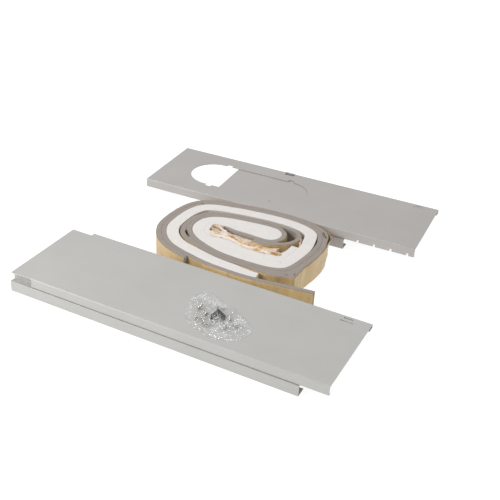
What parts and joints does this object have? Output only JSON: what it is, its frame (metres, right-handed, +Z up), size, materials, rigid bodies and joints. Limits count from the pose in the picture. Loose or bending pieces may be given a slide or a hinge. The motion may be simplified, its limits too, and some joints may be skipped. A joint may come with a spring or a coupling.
{
  "type": "portable air conditioner window slider kit",
  "caption": "Telescoping window slider panels, one pair with a stadium hose opening, laid out with a coiled roll of foam seal and a clear parts bag.",
  "frame": {"origin": "middle of the underside of the whole kit, on the floor it lies on", "axes": "+X along the front panel pair towards its right end, +Y across the kit from the front pair to the rear pair, +Z up"},
  "size_m": [0.6672, 0.6998, 0.0615],
  "materials": {
    "front_panels": "satin",
    "rear_panels": "satin",
    "clip": "satin",
    "grey_foam": "matte",
    "white_foam": "matte",
    "release_paper": "satin",
    "bag_film": "gloss",
    "bracket_steel": "satin",
    "screw_steel": "satin"
  },
  "bodies": {
    "front_base": {"front_lower_panel": "front_panels"},
    "front_slider": {"front_upper_panel": "front_panels"},
    "rear_base": {"rear_lower_panel": "rear_panels"},
    "rear_slider": {"rear_upper_panel": "rear_panels", "rear_latch_clip": "clip"},
    "foam_roll": {"foam_strip_inner": "grey_foam", "foam_strip_outer": "grey_foam", "foam_strip_white": "white_foam", "release_paper_inner": "release_paper", "release_paper_outer": "release_paper", "release_paper_peeled": "release_paper"},
    "bag": {"parts_bag": "bag_film", "lock_bracket": "bracket_steel", "screw_1": "screw_steel", "screw_2": "screw_steel", "screw_3": "screw_steel", "screw_4": "screw_steel", "screw_5": "screw_steel", "screw_6": "screw_steel", "screw_7": "screw_steel", "screw_8": "screw_steel"}
  },
  "joints": [
    {"name": "front_slide", "type": "slide", "parent": "front_base", "child": "front_slider", "axis": [1, 0, 0], "range_m": [-0.049, 0.45]},
    {"name": "bag_lift", "type": "slide", "parent": "front_slider", "child": "bag", "axis": [0, 0, 1], "range_m": [0, 0.12]},
    {"name": "rear_lift", "type": "slide", "parent": "front_base", "child": "rear_base", "axis": [0, 0, 1], "range_m": [0, 0.12]},
    {"name": "rear_slide", "type": "slide", "parent": "rear_base", "child": "rear_slider", "axis": [0.9992, 0.0403, 0], "range_m": [-0.3, 0.15]},
    {"name": "roll_lift", "type": "slide", "parent": "front_base", "child": "foam_roll", "axis": [0, 0, 1], "range_m": [0, 0.12]}
  ]
}
